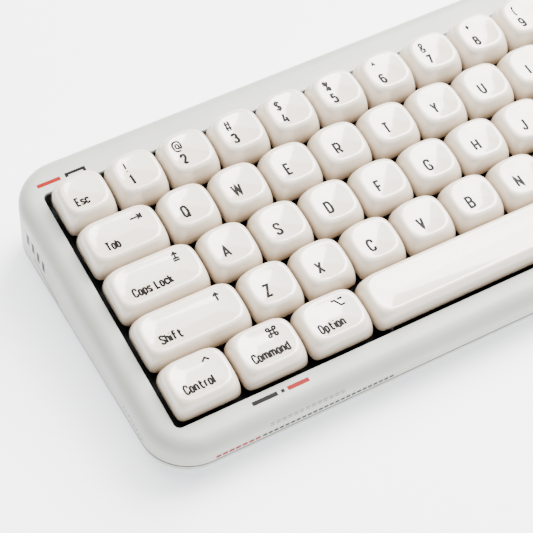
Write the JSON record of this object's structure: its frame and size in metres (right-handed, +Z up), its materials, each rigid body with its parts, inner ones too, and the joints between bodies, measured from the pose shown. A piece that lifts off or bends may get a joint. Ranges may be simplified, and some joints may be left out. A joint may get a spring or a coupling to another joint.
{
  "type": "mechanical keyboard",
  "caption": "Compact wedge-shaped mechanical keyboard: rounded, dished keycaps press down on sprung sliders in a soft-cornered two-part case on rubber feet.",
  "frame": {"origin": "middle of the footprint, on the surface that the feet stand on", "axes": "+X to the typist's right along the rows of keys, +Y to the rear, +Z up; the deck of keys rises towards +Y by 7.5 degrees"},
  "size_m": [0.3048, 0.1224, 0.0422],
  "materials": {
    "case_shell": "satin",
    "case_base": "satin",
    "keycap": "glossy",
    "legend_ink": "matt",
    "mark_red": "matt",
    "plate": "satin",
    "board": "satin",
    "battery_wrap": "satin",
    "port_metal": "satin",
    "wire_steel": "polished",
    "screw_steel": "satin",
    "foot_rubber": "matt"
  },
  "bodies": {
    "case": {"top_case": "case_shell", "bottom_case": "case_base", "switch_plate": "plate", "circuit_board": "board", "battery": "battery_wrap", "usb_c_port": "port_metal", "front_foot": "foot_rubber", "rear_foot": "foot_rubber", "case_screw_front_left": "screw_steel", "case_screw_front_right": "screw_steel", "case_screw_rear_left": "screw_steel", "case_screw_rear_right": "screw_steel"},
    "key_esc_body": {"key_esc": "keycap"},
    "key_1_body": {"key_1": "keycap"},
    "key_2_body": {"key_2": "keycap"},
    "key_3_body": {"key_3": "keycap"},
    "key_4_body": {"key_4": "keycap"},
    "key_5_body": {"key_5": "keycap"},
    "key_6_body": {"key_6": "keycap"},
    "key_7_body": {"key_7": "keycap"},
    "key_8_body": {"key_8": "keycap"},
    "key_9_body": {"key_9": "keycap"},
    "keys_0_to_equals_body": {"keys_0_to_equals": "keycap"},
    "key_backspace_body": {"key_backspace": "keycap"},
    "key_tab_body": {"key_tab": "keycap"},
    "key_q_body": {"key_q": "keycap"},
    "key_w_body": {"key_w": "keycap"},
    "key_e_body": {"key_e": "keycap"},
    "key_r_body": {"key_r": "keycap"},
    "key_t_body": {"key_t": "keycap"},
    "key_y_body": {"key_y": "keycap"},
    "key_u_body": {"key_u": "keycap"},
    "key_i_body": {"key_i": "keycap"},
    "keys_o_to_close_bracket_body": {"keys_o_to_close_bracket": "keycap"},
    "key_backslash_body": {"key_backslash": "keycap"},
    "key_caps_lock_body": {"key_caps_lock": "keycap"},
    "key_a_body": {"key_a": "keycap"},
    "key_s_body": {"key_s": "keycap"},
    "key_d_body": {"key_d": "keycap"},
    "key_f_body": {"key_f": "keycap"},
    "key_g_body": {"key_g": "keycap"},
    "key_h_body": {"key_h": "keycap"},
    "key_j_body": {"key_j": "keycap"},
    "keys_k_to_quote_body": {"keys_k_to_quote": "keycap"},
    "key_enter_body": {"key_enter": "keycap"},
    "key_left_shift_body": {"key_left_shift": "keycap"},
    "key_z_body": {"key_z": "keycap"},
    "key_x_body": {"key_x": "keycap"},
    "key_c_body": {"key_c": "keycap"},
    "key_v_body": {"key_v": "keycap"},
    "key_b_body": {"key_b": "keycap"},
    "key_n_body": {"key_n": "keycap"},
    "keys_m_to_slash_body": {"keys_m_to_slash": "keycap"},
    "keys_right_shift_to_delete_body": {"keys_right_shift_to_delete": "keycap"},
    "key_left_control_body": {"key_left_control": "keycap"},
    "key_left_command_body": {"key_left_command": "keycap"},
    "key_left_option_body": {"key_left_option": "keycap"},
    "key_space_body": {"key_space": "keycap"},
    "keys_right_option_to_right_arrow_body": {"keys_right_option_to_right_arrow": "keycap"},
    "stabiliser_wire_body": {"spacebar_stabiliser_wire": "wire_steel"}
  },
  "joints": [
    {"name": "press_esc", "type": "slide", "parent": "case", "child": "key_esc_body", "axis": [0, 0.1305, -0.9914], "range_m": [0, 0.004], "stiffness_N_per_m": 70, "springref_m": -0.004},
    {"name": "press_1", "type": "slide", "parent": "case", "child": "key_1_body", "axis": [0, 0.1305, -0.9914], "range_m": [0, 0.004], "stiffness_N_per_m": 70, "springref_m": -0.004},
    {"name": "press_2", "type": "slide", "parent": "case", "child": "key_2_body", "axis": [0, 0.1305, -0.9914], "range_m": [0, 0.004], "stiffness_N_per_m": 70, "springref_m": -0.004},
    {"name": "press_3", "type": "slide", "parent": "case", "child": "key_3_body", "axis": [0, 0.1305, -0.9914], "range_m": [0, 0.004], "stiffness_N_per_m": 70, "springref_m": -0.004},
    {"name": "press_4", "type": "slide", "parent": "case", "child": "key_4_body", "axis": [0, 0.1305, -0.9914], "range_m": [0, 0.004], "stiffness_N_per_m": 70, "springref_m": -0.004},
    {"name": "press_5", "type": "slide", "parent": "case", "child": "key_5_body", "axis": [0, 0.1305, -0.9914], "range_m": [0, 0.004], "stiffness_N_per_m": 70, "springref_m": -0.004},
    {"name": "press_6", "type": "slide", "parent": "case", "child": "key_6_body", "axis": [0, 0.1305, -0.9914], "range_m": [0, 0.004], "stiffness_N_per_m": 70, "springref_m": -0.004},
    {"name": "press_7", "type": "slide", "parent": "case", "child": "key_7_body", "axis": [0, 0.1305, -0.9914], "range_m": [0, 0.004], "stiffness_N_per_m": 70, "springref_m": -0.004},
    {"name": "press_8", "type": "slide", "parent": "case", "child": "key_8_body", "axis": [0, 0.1305, -0.9914], "range_m": [0, 0.004], "stiffness_N_per_m": 70, "springref_m": -0.004},
    {"name": "press_9", "type": "slide", "parent": "case", "child": "key_9_body", "axis": [0, 0.1305, -0.9914], "range_m": [0, 0.004], "stiffness_N_per_m": 70, "springref_m": -0.004},
    {"name": "press_keys_0_to_equals", "type": "slide", "parent": "case", "child": "keys_0_to_equals_body", "axis": [0, 0.1305, -0.9914], "range_m": [0, 0.004], "stiffness_N_per_m": 70, "springref_m": -0.004},
    {"name": "press_backspace", "type": "slide", "parent": "case", "child": "key_backspace_body", "axis": [0, 0.1305, -0.9914], "range_m": [0, 0.004], "stiffness_N_per_m": 70, "springref_m": -0.004},
    {"name": "press_tab", "type": "slide", "parent": "case", "child": "key_tab_body", "axis": [0, 0.1305, -0.9914], "range_m": [0, 0.004], "stiffness_N_per_m": 70, "springref_m": -0.004},
    {"name": "press_q", "type": "slide", "parent": "case", "child": "key_q_body", "axis": [0, 0.1305, -0.9914], "range_m": [0, 0.004], "stiffness_N_per_m": 70, "springref_m": -0.004},
    {"name": "press_w", "type": "slide", "parent": "case", "child": "key_w_body", "axis": [0, 0.1305, -0.9914], "range_m": [0, 0.004], "stiffness_N_per_m": 70, "springref_m": -0.004},
    {"name": "press_e", "type": "slide", "parent": "case", "child": "key_e_body", "axis": [0, 0.1305, -0.9914], "range_m": [0, 0.004], "stiffness_N_per_m": 70, "springref_m": -0.004},
    {"name": "press_r", "type": "slide", "parent": "case", "child": "key_r_body", "axis": [0, 0.1305, -0.9914], "range_m": [0, 0.004], "stiffness_N_per_m": 70, "springref_m": -0.004},
    {"name": "press_t", "type": "slide", "parent": "case", "child": "key_t_body", "axis": [0, 0.1305, -0.9914], "range_m": [0, 0.004], "stiffness_N_per_m": 70, "springref_m": -0.004},
    {"name": "press_y", "type": "slide", "parent": "case", "child": "key_y_body", "axis": [0, 0.1305, -0.9914], "range_m": [0, 0.004], "stiffness_N_per_m": 70, "springref_m": -0.004},
    {"name": "press_u", "type": "slide", "parent": "case", "child": "key_u_body", "axis": [0, 0.1305, -0.9914], "range_m": [0, 0.004], "stiffness_N_per_m": 70, "springref_m": -0.004},
    {"name": "press_i", "type": "slide", "parent": "case", "child": "key_i_body", "axis": [0, 0.1305, -0.9914], "range_m": [0, 0.004], "stiffness_N_per_m": 70, "springref_m": -0.004},
    {"name": "press_keys_o_to_close_bracket", "type": "slide", "parent": "case", "child": "keys_o_to_close_bracket_body", "axis": [0, 0.1305, -0.9914], "range_m": [0, 0.004], "stiffness_N_per_m": 70, "springref_m": -0.004},
    {"name": "press_backslash", "type": "slide", "parent": "case", "child": "key_backslash_body", "axis": [0, 0.1305, -0.9914], "range_m": [0, 0.004], "stiffness_N_per_m": 70, "springref_m": -0.004},
    {"name": "press_caps_lock", "type": "slide", "parent": "case", "child": "key_caps_lock_body", "axis": [0, 0.1305, -0.9914], "range_m": [0, 0.004], "stiffness_N_per_m": 70, "springref_m": -0.004},
    {"name": "press_a", "type": "slide", "parent": "case", "child": "key_a_body", "axis": [0, 0.1305, -0.9914], "range_m": [0, 0.004], "stiffness_N_per_m": 70, "springref_m": -0.004},
    {"name": "press_s", "type": "slide", "parent": "case", "child": "key_s_body", "axis": [0, 0.1305, -0.9914], "range_m": [0, 0.004], "stiffness_N_per_m": 70, "springref_m": -0.004},
    {"name": "press_d", "type": "slide", "parent": "case", "child": "key_d_body", "axis": [0, 0.1305, -0.9914], "range_m": [0, 0.004], "stiffness_N_per_m": 70, "springref_m": -0.004},
    {"name": "press_f", "type": "slide", "parent": "case", "child": "key_f_body", "axis": [0, 0.1305, -0.9914], "range_m": [0, 0.004], "stiffness_N_per_m": 70, "springref_m": -0.004},
    {"name": "press_g", "type": "slide", "parent": "case", "child": "key_g_body", "axis": [0, 0.1305, -0.9914], "range_m": [0, 0.004], "stiffness_N_per_m": 70, "springref_m": -0.004},
    {"name": "press_h", "type": "slide", "parent": "case", "child": "key_h_body", "axis": [0, 0.1305, -0.9914], "range_m": [0, 0.004], "stiffness_N_per_m": 70, "springref_m": -0.004},
    {"name": "press_j", "type": "slide", "parent": "case", "child": "key_j_body", "axis": [0, 0.1305, -0.9914], "range_m": [0, 0.004], "stiffness_N_per_m": 70, "springref_m": -0.004},
    {"name": "press_keys_k_to_quote", "type": "slide", "parent": "case", "child": "keys_k_to_quote_body", "axis": [0, 0.1305, -0.9914], "range_m": [0, 0.004], "stiffness_N_per_m": 70, "springref_m": -0.004},
    {"name": "press_enter", "type": "slide", "parent": "case", "child": "key_enter_body", "axis": [0, 0.1305, -0.9914], "range_m": [0, 0.004], "stiffness_N_per_m": 70, "springref_m": -0.004},
    {"name": "press_left_shift", "type": "slide", "parent": "case", "child": "key_left_shift_body", "axis": [0, 0.1305, -0.9914], "range_m": [0, 0.004], "stiffness_N_per_m": 70, "springref_m": -0.004},
    {"name": "press_z", "type": "slide", "parent": "case", "child": "key_z_body", "axis": [0, 0.1305, -0.9914], "range_m": [0, 0.004], "stiffness_N_per_m": 70, "springref_m": -0.004},
    {"name": "press_x", "type": "slide", "parent": "case", "child": "key_x_body", "axis": [0, 0.1305, -0.9914], "range_m": [0, 0.004], "stiffness_N_per_m": 70, "springref_m": -0.004},
    {"name": "press_c", "type": "slide", "parent": "case", "child": "key_c_body", "axis": [0, 0.1305, -0.9914], "range_m": [0, 0.004], "stiffness_N_per_m": 70, "springref_m": -0.004},
    {"name": "press_v", "type": "slide", "parent": "case", "child": "key_v_body", "axis": [0, 0.1305, -0.9914], "range_m": [0, 0.004], "stiffness_N_per_m": 70, "springref_m": -0.004},
    {"name": "press_b", "type": "slide", "parent": "case", "child": "key_b_body", "axis": [0, 0.1305, -0.9914], "range_m": [0, 0.004], "stiffness_N_per_m": 70, "springref_m": -0.004},
    {"name": "press_n", "type": "slide", "parent": "case", "child": "key_n_body", "axis": [0, 0.1305, -0.9914], "range_m": [0, 0.004], "stiffness_N_per_m": 70, "springref_m": -0.004},
    {"name": "press_keys_m_to_slash", "type": "slide", "parent": "case", "child": "keys_m_to_slash_body", "axis": [0, 0.1305, -0.9914], "range_m": [0, 0.004], "stiffness_N_per_m": 70, "springref_m": -0.004},
    {"name": "press_keys_right_shift_to_delete", "type": "slide", "parent": "case", "child": "keys_right_shift_to_delete_body", "axis": [0, 0.1305, -0.9914], "range_m": [0, 0.004], "stiffness_N_per_m": 70, "springref_m": -0.004},
    {"name": "press_left_control", "type": "slide", "parent": "case", "child": "key_left_control_body", "axis": [0, 0.1305, -0.9914], "range_m": [0, 0.004], "stiffness_N_per_m": 70, "springref_m": -0.004},
    {"name": "press_left_command", "type": "slide", "parent": "case", "child": "key_left_command_body", "axis": [0, 0.1305, -0.9914], "range_m": [0, 0.004], "stiffness_N_per_m": 70, "springref_m": -0.004},
    {"name": "press_left_option", "type": "slide", "parent": "case", "child": "key_left_option_body", "axis": [0, 0.1305, -0.9914], "range_m": [0, 0.004], "stiffness_N_per_m": 70, "springref_m": -0.004},
    {"name": "press_space", "type": "slide", "parent": "case", "child": "key_space_body", "axis": [0, 0.1305, -0.9914], "range_m": [0, 0.004], "stiffness_N_per_m": 70, "springref_m": -0.004},
    {"name": "press_keys_right_option_to_right_arrow", "type": "slide", "parent": "case", "child": "keys_right_option_to_right_arrow_body", "axis": [0, 0.1305, -0.9914], "range_m": [0, 0.004], "stiffness_N_per_m": 70, "springref_m": -0.004},
    {"name": "stabiliser_swing", "type": "hinge", "parent": "case", "child": "stabiliser_wire_body", "pos_m": [-0.01191, -0.04902, 0.01498], "axis": [1, 0, 0], "range_deg": [-29.79, 0]}
  ],
  "couplings": [
    {"joint": "stabiliser_swing", "follows": "press_space", "rad_per_m": -129.77}
  ]
}
